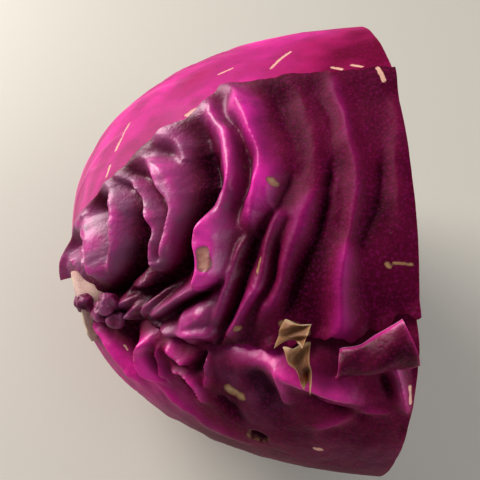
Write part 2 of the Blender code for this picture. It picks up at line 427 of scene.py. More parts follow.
VALLEYS = [
    (8.4, 2.4, (86, 0.27), (96, 0.28), (103, 0.25), (111, 0.20), (118, 0.16), (121, 0.11)),
    (4.0, 4.2, (78, 0.44), (90, 0.455), (100, 0.47), (104, 0.455)),
    (3.0, 1.5, (72, 0.325), (84, 0.338), (96, 0.348), (106, 0.335), (112, 0.315)),
    (8.0, 3.2, (96, 0.455), (104, 0.432), (111, 0.40), (118, 0.365), (123, 0.32), (126, 0.27),
     (124, 0.21)),
    (2.0, 3.4, (76, 0.545), (92, 0.568), (102, 0.57), (110, 0.525)),
    (1.0, 3.4, (78, 0.66), (92, 0.685), (104, 0.69)),
    (2.2, 2.6, (104, 0.685), (112, 0.65), (119, 0.605), (125, 0.57), (128, 0.54)),
    (2.6, 2.8, (106, 0.795), (114, 0.78), (124, 0.745), (131, 0.715), (139, 0.675)),
    (2.8, 1.6, (124, 0.57), (131, 0.55), (138, 0.525), (146, 0.50)),
    (4.4, 1.7, (129, 0.50), (132, 0.435), (138, 0.345), (142, 0.30)),
    (2.2, 2.0, (118, 0.675), (126, 0.645), (134, 0.61), (143, 0.56)),
    (1.8, 1.6, (58, 0.205), (74, 0.19), (92, 0.175)),
    (1.2, 3.4, (112, 0.93), (122, 0.90), (130, 0.86)),
]
CREASES = [
    (1.3, 1.5, (36, 0.17), (54, 0.175), (74, 0.155), (96, 0.135)),
    (1.3, 1.3, (44, 0.12), (66, 0.12), (92, 0.10), (112, 0.09)),
    (1.0, 1.2, (20, 0.08), (50, 0.09), (80, 0.075), (108, 0.07)),
    (1.2, 1.5, (66, 0.35), (84, 0.385), (94, 0.395), (108, 0.37), (117, 0.335)),
    (0.8, 1.3, (64, 0.365), (80, 0.36), (96, 0.37), (108, 0.345)),
    (1.3, 1.3, (108, 0.475), (114, 0.452), (122, 0.458), (129, 0.45)),
    (1.0, 1.2, (112, 0.49), (120, 0.49), (127, 0.485)),
    (1.2, 1.4, (66, 0.515), (84, 0.54), (95, 0.545), (101, 0.53)),
    (1.3, 1.6, (66, 0.575), (84, 0.605), (98, 0.62), (108, 0.60)),
    (0.7, 1.0, (100, 0.64), (108, 0.63), (114, 0.645)),
    (0.7, 1.0, (110, 0.60), (116, 0.585), (121, 0.60)),
    (0.8, 1.1, (136, 0.47), (139, 0.45), (141, 0.40)),
]
print(len(RIDGES), "ridges,", len(VALLEYS), "valleys and", len(CREASES), "small creases")

# %% [markdown]
# ## Blemishes
# Pale scars and dried spots mark the leaves where they were rubbed or bitten. They could be painted on
# an image, but a short line with a width marks each one on the points of any leaf just as well.

# %% Scars and dried spots
# width (mm), then places (angle, along)
SCARS = [
    (0.9, (61, 0.455), (62, 0.49), (64, 0.53)), (1.2, (60, 0.395), (61, 0.42)),
    (0.5, (58, 0.76), (60, 0.73), (63, 0.69)), (0.4, (50.5, 0.57), (51.5, 0.61)),
    (0.5, (76, 0.845), (79, 0.87)), (0.5, (79, 0.90), (81.5, 0.925)),
    (0.5, (38, 0.36), (42, 0.30)), (0.4, (45, 0.27), (47, 0.25)),
    (0.6, (87, 0.955), (91, 0.965)),
]
DRIED = [
    (1.4, (118.5, 0.478), (122.5, 0.482)), (0.5, (125, 0.605), (128, 0.60)),
    (0.35, (132.5, 0.94), (133.5, 0.985)), (0.6, (132.5, 0.925), (133, 0.93)),
    (1.0, (141.5, 0.67), (142, 0.70), (143.5, 0.73)), (0.5, (141, 0.56), (142, 0.56)),
    (0.8, (106, 0.64), (107, 0.645)),
]
print(len(SCARS) + len(DRIED), "blemishes")


# %% Shape of the pleated leaf
def pleated_shape(angle, along, points):
    inside = angle - margin(TOP_MARGIN, along)
    above_crease = margin(CREASE, along) - angle
    shaken = shake(points, 1.2 * MM, 8 * MM, 3)
    high = folds(shaken, RIDGES, crisp=0.22)
    deep = folds(shaken, VALLEYS, crisp=0.5)
    worn = 1 - 0.7 * ease(along, 0.45, 0.85)
    small = folds(shaken, CREASES, crisp=0.4)
    rough = 0.8 * rough_noise(points, 7 * MM, 8) + 0.4 * wrinkles(angle, along, 61)
    pucker = small + rough * worn * MM
    settled = ease(inside, 0, 10)
    over_stem = 2.2 * MM * (1 - ease(along, 0.07, 0.13))
    lifted = 1.4 * MM * (1 - ease(above_crease, 0, 3)) * (0.5 + 0.5 * np.sin(along * 90))
    level = 1.2 * MM - (5.2 - 2.2 * ease(along, 0.35, 0.7)) * MM * settled + lifted + over_stem
    height = level + high * (0.35 + 0.65 * settled) - deep * settled + pucker * ease(inside, 0, 5)
    height = height - 0.7 * MM * marks(points, DRIED[:1])
    relief = (high - deep + pucker) / MM
    # crest is the fold's height: the skin is painted darker in the hollows as painted shade and brighter on
    # the folds, partly as painted light
    crest = relief / 4.8 - 0.48 + 0.12 * ease(along, 0.5, 0.9)
    # bloom on the raised folds by the stem: partly the leaf's grey wax, partly painted sheen
    bloom_and_sheen = (1 - ease(along, 0.25, 0.6)) * ease(relief, 0.5, 4.0)
    return height, {"crest": crest, "bloom_and_sheen": bloom_and_sheen, "scar": marks(points, SCARS[-1:]),
                    "dry": marks(points, DRIED), "dull": ease(along, 0.45, 0.72), "vein": 0 * along}


def pleated_margins(along):
    ragged = 0.5 * np.sin(along * 31) + 0.3 * np.sin(along * 83 + 1) + 0.12 * np.sin(along * 211)
    return margin(TOP_MARGIN, along) + 0.8 * ragged, margin(CREASE, along) + 1.5 * ragged


pleated = leaf("pleated_leaf_skin", pleated_margins, pleated_shape, 1.1 * MM, 190, 250,
               [(0, 0.052), (0.88, 0.052), (0.97, 0.09), (1, 0.09)])


# %% [markdown]
# ## The smooth leaf
# The leaf behind is younger, tight and bright. It is smooth apart from faint swellings over what lies
# under it. Where the pleated leaf covers it, it dips down out of the way.

# %% Shape of the smooth leaf
def tuck(along):
    """How far down a leaf dips under the pleated one, which is flatter near the cut."""
    return 10.6 * MM * (1 - 0.5 * ease(along, 0.38, 0.85))


def veins(points, middle, first, last, pairs, side_reach):
    """How strongly the rib of a leaf, its side veins and their twigs stand out (0 to 1)."""
    # height, width (mm), then places
    drawn = [(1.0, 1.9, (middle, first), (middle + 2, (first + last) / 2), (middle, last))]
    for pair in range(pairs):
        for side in (-1, 1):
            root = first + (last - first) * pair / pairs + 0.04 * side
            way = side * side_reach
            bend, tip = (middle + way * 0.4, root + 0.10), (middle + way, root + 0.32)
            drawn.append((0.7, 0.9, (middle, root), bend, tip))
            for part in (0.35, 0.65):
                out, up = middle + way * part, root + 0.30 * part
                rising = (out + way * 0.16, up + 0.11), (out + way * 0.24, up + 0.2)
                level = (out + way * 0.25, up + 0.01), (out + way * 0.42, up + 0.04)
                drawn.append((0.4, 0.55, (out, up), *rising))
                drawn.append((0.35, 0.5, (out, up), *level))
    return folds(shake(points, 0.9 * MM, 9 * MM, 13), drawn, tips=0.25, crisp=0.2) / MM


def smooth_shape(angle, along, points):
    under = ease(angle - margin(TOP_MARGIN, along), -1, 12)
    ribs = veins(points, 4, 0.10, 0.97, 6, 52) * (1 - ease(angle, 26, 48))
    swell = 0.8 * MM * noise(points, 26 * MM, 11) + 0.22 * MM * noise(points, 9 * MM, 12)
    tucked = 1.6 * MM * (1 - ease(angle, -22, -6))
    scars = marks(points, SCARS)
    height = (swell + 0.8 * MM * ribs) * (1 - under) - tuck(along) * under
    height = height - tucked - 0.4 * MM - 0.25 * MM * scars
    dark_end = ease(along, 0.55, 0.95) * ease(angle, 30, 75)
    streaks = wrinkles(angle, along * 0.3, 17) + 0.6 * noise(points, 12 * MM, 19)
    # crest paints the swellings brighter and the dips darker, as painted light and shade; darker towards
    # the cut end above, with random streaks
    crest = 0.35 * swell / MM + 0.38 - 0.95 * dark_end + 0.34 * streaks
    # bloom by the stem on the upper side: partly grey wax, partly painted sheen
    bloom_and_sheen = 0.25 * (1 - ease(along, 0.12, 0.42)) * ease(angle, 0, 40)
    return height, {"crest": crest, "bloom_and_sheen": bloom_and_sheen, "scar": scars, "dry": 0 * swell, "vein": ribs,
                    "dull": 0.9 - 0.6 * (1 - ease(along, 0.1, 0.4))}


def smooth_margins(along):
    return -38 + 1.2 * np.sin(along * 37), 106 + 0 * along


smooth = leaf("smooth_leaf_skin", smooth_margins, smooth_shape, 1.2 * MM, 260, 180,
              round_stem(-38, 106))


# %% [markdown]
# ## The lower leaf
# Below the crease another wrapper leaf comes out and runs right underneath the head. It is puckered
# next to the crease and smooth below.

# %% Folds and shape of the lower leaf
LOWER_RIDGES = [
    (3.4, 2.4, (148, 0.10), (156, 0.115), (165, 0.185), (173, 0.24), (176, 0.28)),
    (4.4, 2.2, (146, 0.315), (150, 0.298), (156, 0.29), (162, 0.302), (168, 0.35)),
    (2.6, 1.5, (150, 0.345), (158, 0.352), (165, 0.37)),
    (3.2, 2.0, (148, 0.37), (151, 0.40), (154, 0.43)),
    (3.4, 1.3, (148, 0.45), (151, 0.485), (156, 0.497), (160, 0.49)),
    (3.2, 1.4, (158, 0.39), (158.5, 0.43), (161, 0.475), (166, 0.49)),
    (3.4, 3.6, (148, 0.51), (148, 0.575), (149, 0.64), (152.5, 0.705), (154, 0.80), (156, 0.87)),
    (3.0, 1.6, (150.5, 0.665), (154, 0.688), (159, 0.71)),
    (1.6, 1.3, (155, 0.74), (157, 0.80), (158, 0.88), (158.5, 0.95)),
    (1.4, 2.0, (164, 0.79), (160, 0.85), (158, 0.92)),
    (2.4, 1.8, (149, 0.94), (153, 0.965), (158, 0.99)),
    (1.2, 3.4, (172, 0.34), (176, 0.48), (178, 0.62)),
]
LOWER_VALLEYS = [
    (7.0, 2.6, (147, 0.225), (152, 0.245), (158, 0.265)),
    (2.6, 1.2, (156, 0.322), (161, 0.332), (166, 0.362)),
    (3.2, 1.9, (151, 0.472), (154, 0.468), (157, 0.452)),
    (3.0, 2.4, (161, 0.43), (164, 0.455)),
    (2.4, 2.6, (153, 0.61), (157, 0.65), (160, 0.675)),
    (1.4, 1.6, (156.5, 0.75), (159, 0.82), (160, 0.90)),
    (1.8, 1.4, (152, 0.93), (155, 0.955)),
    (1.6, 2.0, (164, 0.53), (168, 0.57)),
]
LOWER_SCARS = [(0.7, (172, 0.795), (171.5, 0.81)), (0.4, (160, 0.22), (162, 0.23)),
               (0.4, (153, 0.985), (156, 0.99))]
LOWER_DRIED = [(1.3, (159.5, 0.55), (161, 0.585)), (0.6, (150, 0.73), (151, 0.735))]
PIT = [(1.6, (173.5, 0.638), (173.5, 0.652))]
PIT_RIM = [(2.4, (173.5, 0.638), (173.5, 0.652))]


def lower_shape(angle, along, points):
    below_crease = angle - margin(CREASE, along)
    shaken = shake(points, 0.9 * MM, 6 * MM, 23)
    high = folds(shaken, LOWER_RIDGES, crisp=0.45)
    deep = folds(shaken, LOWER_VALLEYS)
    ribs = veins(points, 236, 0.12, 0.97, 7, 60) * ease(angle, 185, 200) * (1 - ease(angle, 240, 250))
    near = 1 - ease(angle, 168, 186)
    pucker = rough_noise(points, 6 * MM, 28) * (0.12 + 0.5 * near) * MM
    pucker = pucker + 0.35 * MM * near * wrinkles(angle, along, 71)
    rising = ease(below_crease, -1, 6)
    under = 1 - ease(below_crease, -8, 0)
    pit = marks(points, PIT)
    dipped = 3.2 * MM * (1 - rising) + (tuck(along) - 3.6 * MM) * under + 0.8 * MM * near
    fine = pucker * (1 - ease(angle, 245, 262)) + 0.8 * MM * ribs
    height = (high - deep) * rising - dipped + fine * (1 - under) - 2.0 * MM * pit
    by_stem = (1 - ease(along, 0.25, 0.6)) * ease(angle, 150, 170)
    # crest paints the hollows darker as painted shade and the folds brighter, partly as painted light; it
    # is also raised by the stem
    crest = (high - deep + 0.8 * pucker) / (3.0 * MM) - 0.35 + 0.9 * by_stem
    bloom_and_sheen = 0.3 * near * ease(noise(points, 12 * MM, 31), 0, 0.7)
    # the pit takes the darkest hollow colour, as painted shade in the recess, inside its dried rim
    return height, {"crest": crest - 2 * pit, "bloom_and_sheen": bloom_and_sheen, "scar": marks(points, LOWER_SCARS),
                    "dry": np.maximum(marks(points, LOWER_DRIED), marks(points, PIT_RIM) * (1 - pit) * 0.8),
                    "dull": 0.85 - 0.6 * ease(high, 1.0 * MM, 3.0 * MM), "vein": ribs}


def lower_margins(along):
    return 120 + 0 * along, 333 + 0 * along


lower = leaf("lower_leaf_skin", lower_margins, lower_shape, 1.2 * MM, 240, 205, round_stem(120, 333),
             dense=(0.62, 0.33))


# %% [markdown]
# ## Small torn pieces
# By the cut, a strip of the pleated leaf has torn and folded back over the crease, and further in a
# corner has dried to gold in two scraps. Each is a small curled sheet laid over four corners on the
# head. Cloth could be draped there, but so small a piece is quicker to place by its corners.


# %% Curled patches
def patch(name, corners, lift, thickness, columns, rows, values):
    """A sheet between four corners (angle, along), which stands lift(across, down) off the head."""
    down, across = unit_grid(rows, columns)
    corners = np.array(corners, float)
    upper = corners[0] + (corners[1] - corners[0]) * across[..., None]
    lower = corners[3] + (corners[2] - corners[3]) * across[..., None]
    place = upper + (lower - upper) * down[..., None]
    ragged = noise(on_head(place[..., 0], place[..., 1]), 4 * MM, 41)
    rim = np.maximum(np.abs(2 * down - 1), np.abs(2 * across - 1)) ** 6
    place = place + (ragged * rim)[..., None] * np.array([1.1, 0.011])
    height = lift(across, down)
    outer = on_head(place[..., 0], place[..., 1], height)
    inner = on_head(place[..., 0], place[..., 1], height - thickness)
    both = {key: np.full((2, rows, columns), value) for key, value in values.items()}
    both["crest"] += 0.9 * rim ** 3 + 0.25 * noise(outer, 9 * MM, 43)
    both["skin"] = np.stack([np.ones_like(down), np.full_like(down, 0.89)])
    faces = grid_faces(columns, rows)[:, ::-1]
    print(name, "is", (np.linalg.norm(outer[0, 0] - outer[-1, -1]) / MM).round(1), "mm across")
    return mesh_object(name, np.stack([outer, inner]), faces, both)


def flap_lift(across, down):
    curl = 3.0 * np.sin(np.pi * np.clip(down, 0, 1)) ** 0.7 * (0.6 + 0.4 * across)
    return (0.9 + curl + 1.4 * (1 - down) * across + 0.5 * np.sin(9 * across + 4 * down)) * MM


def scrap_lift(across, down):
    return (1.6 + 2.6 * (2 * across - 1) ** 2 * down + 1.4 * np.sin(5 * down + 3 * across) ** 2) * MM


PLAIN = {"crest": -0.55, "bloom_and_sheen": 0.0, "scar": 0.0, "dry": 0.0, "dull": 0.3, "vein": 0.0}
FLAP = [(146.5, 0.82), (141.5, 0.955), (148.8, 0.995), (151.5, 0.812)]
SCRAP = [(144.8, 0.682), (144.5, 0.752), (151.5, 0.758), (150.4, 0.742)]
UPPER_SCRAP = [(139.5, 0.685), (140.5, 0.745), (143.8, 0.742), (143.2, 0.675)]
flap = patch("folded_flap_skin", FLAP, flap_lift, 0.9 * MM, 60, 44, PLAIN)
scrap = patch("dried_scrap_skin", SCRAP, scrap_lift, 0.5 * MM, 44, 40, PLAIN)
upper_scrap = patch("upper_dried_scrap", UPPER_SCRAP, scrap_lift, 0.5 * MM, 44, 30, PLAIN)


# %% Join pieces
def join(first, *others):
    """Makes several closed meshes one object."""
    chosen = {"active_object": first, "object": first, "selected_editable_objects": [first, *others]}
    with bpy.context.temp_override(**chosen):
        bpy.ops.object.join()
    return first


scrap = join(scrap, upper_scrap)
print("the dried scraps have", len(scrap.data.vertices), "points")

# %% [markdown]
# ## Knobs at the leaf bases
# Round the stem stand the broken ends of older leaves, dried to small round knobs. Each is a ball laid
# on the head, squashed a little and dented with noise. They belong to the pleated leaf's base.


# %% Knobs
# angle, along, radius and height in mm
KNOBS = [(121, 0.082, 3.0, 2.0), (136, 0.13, 2.8, 0.2), (128, 0.17, 3.2, 0.6), (142, 0.19, 2.6, -0.2)]
KNOB_COLUMNS, KNOB_ROWS = 36, 24


def knob(angle, along, radius, height):
    """A dented ball: rings of points from pole to pole, with a fan of triangles at each pole."""
    turns = np.linspace(0, 2 * np.pi, KNOB_COLUMNS, endpoint=False)
    turns, rows = np.meshgrid(turns, np.linspace(0.04, np.pi - 0.04, KNOB_ROWS))
    ball = np.stack([np.sin(rows) * np.cos(turns), np.sin(rows) * np.sin(turns), np.cos(rows)], -1)
    centre = on_head(angle, along, height * MM)
    swell = 1 + 0.42 * rough_noise(centre + ball * radius * MM, 2.6 * MM, 81)
    points = centre + ball * radius * MM * swell[..., None]
    points = np.concatenate([points.reshape(-1, 3), [points[0].mean(0)], [points[-1].mean(0)]])
    sides, index = tube_faces(KNOB_COLUMNS, KNOB_ROWS)
    after = np.roll(index, -1, 1)
    caps = [[index.size, a, b] for a, b in zip(index[0], after[0])]
    caps += [[index.size + 1, b, a] for a, b in zip(index[-1], after[-1])]
    # dents are painted darker and swellings brighter, as painted shade and light, and swellings get more
    # bloom and sheen
    crest = np.append(swell.ravel(), [1, 1]) * 2 - 2
    none = 0 * crest
    values = {"crest": crest, "bloom_and_sheen": 0.5 + crest, "skin": none + 1}
    values.update({key: none for key in ("scar", "dry", "dull", "vein")})
    return mesh_object("knob", points, sides.tolist() + caps, values)


pleated = join(pleated, *(knob(*given) for given in KNOBS))
print(len(KNOBS), "knobs at the leaf bases")

# %% [markdown]
# ## The stem
# The stem was cut off short. It is pale, woody and slightly tapered, with a ring of darker threads
# where the sap ran. It is a solid of revolution, so rings of points round its axis draw it.


# %% Stem
STEM_PROUD = 0.6 * MM
STEM_COLUMNS, STEM_ROWS = 120, 100
side_way = np.cross(STEM_WAY, [0, 0, 1])
side_way = side_way / np.linalg.norm(side_way)
up_way = np.cross(side_way, STEM_WAY)


def stem_body():
    """Rings of points round the stem's axis, from the tip of the core to the cut end."""
    outer = float(reach(*STEM_WAY)) + STEM_PROUD
    inner = float(reach(*STEM_WAY)) - CORE_DEPTH + 0.6 * MM
    # far along the axis, and share of the radius
    profile = [(inner, 0.0), (inner, 0.25), (inner, 0.52), (inner + 12 * MM, 0.68), (outer - 8 * MM, 0.95),
               (outer - 1.2 * MM, 1.0), (outer - 0.3 * MM, 0.985), (outer, 0.93), (outer + 0.2 * MM, 0.75),
               (outer, 0.5), (outer - 0.3 * MM, 0.25), (outer - 0.2 * MM, 0.0)]
    far, share = np.array(profile).T
    stops = range(len(profile))
    steps = np.linspace(0, len(profile) - 1, STEM_ROWS)
    far, share = np.interp(steps, stops, far), np.interp(steps, stops, share)
    turns = np.linspace(0, 2 * np.pi, STEM_COLUMNS, endpoint=False)
    wobble = 1 + 0.035 * np.sin(3 * turns + 1) + 0.02 * np.sin(7 * turns)
    round_way = np.cos(turns)[:, None] * side_way + np.sin(turns)[:, None] * up_way
    points = (CENTRE + far[:, None, None] * STEM_WAY
              + (STEM_RADIUS * share[:, None] * wobble)[..., None] * round_way)
    points = points + (0.25 * MM * noise(points, 2.5 * MM, 91))[..., None] * STEM_WAY
    faces, index = tube_faces(STEM_COLUMNS, STEM_ROWS)
    out = np.broadcast_to(share[:, None], index.shape)
    return mesh_object("stem_skin", points, faces, {"out": out})


stem = stem_body()
welded = stem.modifiers.new("ends", "WELD")
welded.merge_threshold = 0.02 * MM
stem.data = bpy.data.meshes.new_from_object(stem.evaluated_get(bpy.context.evaluated_depsgraph_get()))
stem.modifiers.clear()
print("the stem has", len(stem.data.vertices), "points")

# %% [markdown]
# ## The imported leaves
# Inside, each leaf starts three eighths of a turn on from the last and spans more than half of the
# head, so the pack grows by one leaf's thickness where a leaf lies and keeps its depth where none
# does. That is a rule, so one Geometry Nodes tree makes every packed leaf from its number. A repeat
# zone lays on the leaves outside it, one by one, to find how deep this one lies.

# %% Sizes of the pack
# degrees from one leaf to the next, and from a leaf's middle to its margin
LEAF_TURN, SPREAD = 135, 108
# where a leaf leaves the core, as a share of the way from the stem to the cut
START = 0.13
AIR = 0.7 * MM
# a whole number, so that the ribs meet all round
RIBS_ROUND = 7
# the pack's depth under one wrapper leaf, and its depth below the tucked one under two
UNDER_ONE, UNDER_TWO = 3.0 * MM, 1.9 * MM


def leaf_thickness(angle, along, number):
    """A packed leaf is thickest along its middle, and its ribs stand out."""
    away = ((angle - number * LEAF_TURN + 180) % 360 - 180) / SPREAD
    ribs = (0.5 + 0.5 * sin(angle * math.radians(RIBS_ROUND) + number * 2.4)) ** 5 * (1.1 - 0.5 * along)
    return (1.1 + 1.7 * largest(1 - away * away, 0) + 1.7 * ribs) * MM


def room(angle, along, number):
    """What a leaf adds to the pack's depth: its thickness and some air, and nothing past its margins."""
    away = absolute((angle - number * LEAF_TURN + 180) % 360 - 180) / SPREAD
    return (leaf_thickness(angle, along, number) + AIR) * (1 - ease(away, 1.0, 1.2))


def pack_top(angle, along):
    """Depth of the outermost packed leaf: under one wrapper leaf, or under two."""
    front = (angle - 98 + 180) % 360 - 180
    below = (angle - 333 + 180) % 360 - 180
    spill = 10 * (1 - ease(along, 0.3, 0.7))
    covered = ease(front, -66, -44) * (1 - ease(front, spill + 50, spill + 66))
    lapped = ease(below, -26, -8) * (1 - ease(below, 14, 32))
    return UNDER_ONE + covered * (tuck(along) + UNDER_TWO - UNDER_ONE) + lapped * 1.8 * MM


starts_at = pack_top(np.array([0.0, 100.0]), 0.5) / MM
print("the pack starts", starts_at.round(1), "mm down at the back and the front")


# %% Helpers for Geometry Nodes
def new_tree(name, inputs):
    """A Geometry Nodes tree with named inputs, which come back as wires."""
    tree = bpy.data.node_groups.new(name, "GeometryNodeTree")
    entry = tree.nodes.new("NodeGroupInput")
    for label, kind, value in inputs:
        socket = tree.interface.new_socket(label, in_out="INPUT", socket_type=kind)
        if value is not None:
            socket.default_value = value
    tree.interface.new_socket("Geometry", in_out="OUTPUT", socket_type="NodeSocketGeometry")
    return tree, {label: Wire(tree, entry.outputs[label]) for label, kind, value in inputs}


def add(tree, kind, inputs=(), **settings):
    """Adds a node, sets it up and joins its inputs."""
    node = tree.nodes.new(kind)
    for key, value in settings.items():
        setattr(node, key, value)
    for key, value in dict(inputs).items():
        plug(tree, value, node.inputs[key])
    return node


def joined_up(tree, *parts):
    """One vector from x, y and z."""
    node = add(tree, "ShaderNodeCombineXYZ")
    for entry, value in zip(node.inputs, parts):
        plug(tree, value, entry)
    return Wire(tree, node.outputs[0])


def taken_apart(tree, vector):
    """The x, y and z of a vector."""
    node = add(tree, "ShaderNodeSeparateXYZ", {"Vector": vector})
    return [Wire(tree, output) for output in node.outputs]


def keep(tree, geometry, name, value):
    """Keeps a number on each point under a name."""
    stored = {"Geometry": geometry, "Name": name, "Value": value}
    node = add(tree, "GeometryNodeStoreNamedAttribute", stored)
    return Wire(tree, node.outputs[0])


def kept(tree, name):
    node = add(tree, "GeometryNodeInputNamedAttribute", {"Name": name}, data_type="FLOAT")
    return Wire(tree, node.outputs["Attribute"])


def close_tree(tree, geometry, material):
    """Ends a tree: smooth faces, real geometry and a material."""
    smooth_faces = add(tree, "GeometryNodeSetShadeSmooth", {"Geometry": geometry})
    real = add(tree, "GeometryNodeRealizeInstances", {"Geometry": Wire(tree, smooth_faces.outputs[0])})
    ends = add(tree, "GeometryNodeSetMaterial",
               {"Geometry": Wire(tree, real.outputs[0]), "Material": material})
    out = add(tree, "NodeGroupOutput")
    tree.links.new(ends.outputs[0], out.inputs[0])


def grow(name, tree, values):
    """Runs a tree on an empty object, with these values for its inputs, and keeps the plain mesh."""
    obj = bpy.data.objects.new(name, bpy.data.meshes.new(name))
    bpy.context.scene.collection.objects.link(obj)
    modifier = obj.modifiers.new(tree.name, "NODES")
    modifier.node_group = tree
    for item in tree.interface.items_tree:
        if item.in_out == "INPUT" and item.name in values:
            modifier[item.identifier] = values[item.name]
    graph = bpy.context.evaluated_depsgraph_get()
    mesh = bpy.data.meshes.new_from_object(obj.evaluated_get(graph))
    obj.modifiers.remove(modifier)
    obj.data = mesh
    mesh.name = name
    return obj


# %% Crumpling
# size of the crumples, and how far they move a place
CRUMPLES = ((17 * MM, 9 * MM), (6 * MM, 2.6 * MM))


def crumple(tree, x, y, z):
    """Shakes places sideways, more towards the heart: all leaves alike, so that they stay apart."""
    spot = joined_up(tree, x, y, z)
    out = (((y - CENTRE[1]) / HALF_WIDTH) ** 2 + ((z - CENTRE[2]) / HALF_HEIGHT) ** 2) ** 0.5
    inside = 1 - ease(out, 0.55, 0.93)
    shift = [0, 0]
    for size, amount in CRUMPLES:
        texture = add(tree, "ShaderNodeTexNoise", {"Vector": spot, "Scale": 1 / size, "Detail": 0})
        parts = taken_apart(tree, Wire(tree, texture.outputs["Color"]))
        for axis in (0, 1):
            shift[axis] = (parts[axis] - 0.5) * amount * inside + shift[axis]
    return x, y + shift[0], z + shift[1]


# %% The tree of a packed leaf
def packed_leaf_tree():
    tree, given = new_tree("packed leaf", [
        ("Number", "NodeSocketInt", 0), ("Columns", "NodeSocketInt", 150),
        ("Rows", "NodeSocketInt", 36), ("Material", "NodeSocketMaterial", None)])
    counts = {"Vertices X": given["Columns"], "Vertices Y": given["Rows"]}
    slab = add(tree, "GeometryNodeMeshCube", counts)
    x, y, z = taken_apart(tree, Wire(tree, add(tree, "GeometryNodeInputPosition").outputs[0]))
    number = given["Number"]
    shape = keep(tree, Wire(tree, slab.outputs[0]), "angle", number * LEAF_TURN + x * (2 * SPREAD))
    shape = keep(tree, shape, "along", (1 - START) * (y + 0.5) + START)
    shape = keep(tree, shape, "skin", z + 0.5)
    angle, along, skin = kept(tree, "angle"), kept(tree, "along"), kept(tree, "skin")
    shape = keep(tree, shape, "depth", pack_top(angle, along))

    start = add(tree, "GeometryNodeRepeatInput")
    end = add(tree, "GeometryNodeRepeatOutput")
    start.pair_with_output(end)
    plug(tree, number, start.inputs["Iterations"])
    plug(tree, shape, start.inputs["Geometry"])
    above = Wire(tree, start.outputs["Iteration"])
    laid = keep(tree, Wire(tree, start.outputs["Geometry"]), "depth",
                kept(tree, "depth") + room(angle, along, above))
    plug(tree, laid, end.inputs["Geometry"])

    depth = kept(tree, "depth") + leaf_thickness(angle, along, number) * (1 - skin)
    place = joined_up(tree, *crumple(tree, *head_place(angle, along, depth * -1)))
    moved = add(tree, "GeometryNodeSetPosition",
                {"Geometry": Wire(tree, end.outputs["Geometry"]), "Position": place})
    close_tree(tree, Wire(tree, moved.outputs[0]), given["Material"])
    return tree


packed_tree = packed_leaf_tree()
print("the packed leaf's tree has", len(packed_tree.nodes), "nodes")


# %% [markdown]
# ## The folded heart
# The youngest leaves are folded into each other like crumpled cloth, and a cut through them shows a
# maze of white flesh with thin purple skins. Modelling each fold would take dozens of sheets that
# nobody can pull apart, so the heart is one body. A second tree draws it as rings from the middle of
# the cut out to the last packed leaf, and on down to the core, and sinks the gaps between the folds.

# %% The tree of the heart
LAYERS = 14
# the share of the rings that lie on the cut
FACE_SHARE = 0.85
# from fold to fold, half of a fold as a share of that, how many folds they wander, and the gaps' depth
FOLD_PITCH, FOLD_SHARE, WANDER, GAP_DEPTH = 3.0 * MM, 0.36, 7.5, 2.2 * MM


def heart_tree():
    tree, given = new_tree("folded heart", [
        ("Columns", "NodeSocketInt", 330), ("Rows", "NodeSocketInt", 210),
        ("Material", "NodeSocketMaterial", None)])
    counts = {"Vertices X": given["Columns"], "Vertices Y": given["Rows"]}
    sheet = add(tree, "GeometryNodeMeshGrid", counts)
    x, y, _ = taken_apart(tree, Wire(tree, add(tree, "GeometryNodeInputPosition").outputs[0]))
    shape = keep(tree, Wire(tree, sheet.outputs[0]), "angle", x * 360)
    shape = keep(tree, shape, "out", smallest((y + 0.5) / FACE_SHARE, 1))
    shape = keep(tree, shape, "along", smallest((0.5 - y) / (1 - FACE_SHARE), 1))
    angle, out, along = kept(tree, "angle"), kept(tree, "out"), kept(tree, "along")

    depth = pack_top(angle, along) + 0.3 * MM
    for number in range(LAYERS):
        depth = depth + room(angle, along, number)
    shape = keep(tree, shape, "depth", CORE_DEPTH + (depth - CORE_DEPTH) * ease(along, START, 0.32))
    edge_x, edge_y, edge_z = head_place(angle, along, kept(tree, "depth") * -1)
    in_y = CENTRE[1] + (edge_y - CENTRE[1]) * out
    in_z = CENTRE[2] + (edge_z - CENTRE[2]) * out
    in_x, in_y, in_z = crumple(tree, edge_x, in_y, in_z)

    bends = add(tree, "ShaderNodeTexNoise", {"Vector": joined_up(tree, 0, in_y, in_z),
                                             "Scale": 1 / (11 * MM), "Detail": 2.0, "Roughness": 0.45})
    bend = Wire(tree, bends.outputs["Fac"])
    across = ((in_y - CENTRE[1]) ** 2 + ((in_z - CENTRE[2]) * 1.35) ** 2) ** 0.5
    layer = (across / FOLD_PITCH + bend * WANDER * (1.25 - out) + angle * (1 / 180)) % 1
    off_middle = absolute(layer - 0.5) / FOLD_SHARE
    on_face = kept(tree, "along") > 0.999
    gap = ease(off_middle, 1.0, 1.3) * on_face * ease(out, 0, 0.03) * (1 - ease(out, 0.93, 0.97))
    shape = keep(tree, shape, "skin", (1 - smallest(off_middle, 1)) * 0.5 * on_face)
    place = joined_up(tree, in_x - gap * GAP_DEPTH, in_y, in_z)
    moved = add(tree, "GeometryNodeSetPosition", {"Geometry": shape, "Position": place})
    joined = add(tree, "GeometryNodeMergeByDistance",
                 {"Geometry": Wire(tree, moved.outputs[0]), "Distance": 0.01 * MM})
    turned = add(tree, "GeometryNodeFlipFaces", {"Mesh": Wire(tree, joined.outputs[0])})
    close_tree(tree, Wire(tree, turned.outputs[0]), given["Material"])
    return tree


heart_nodes = heart_tree()
print("the heart's tree has", len(heart_nodes.nodes), "nodes")


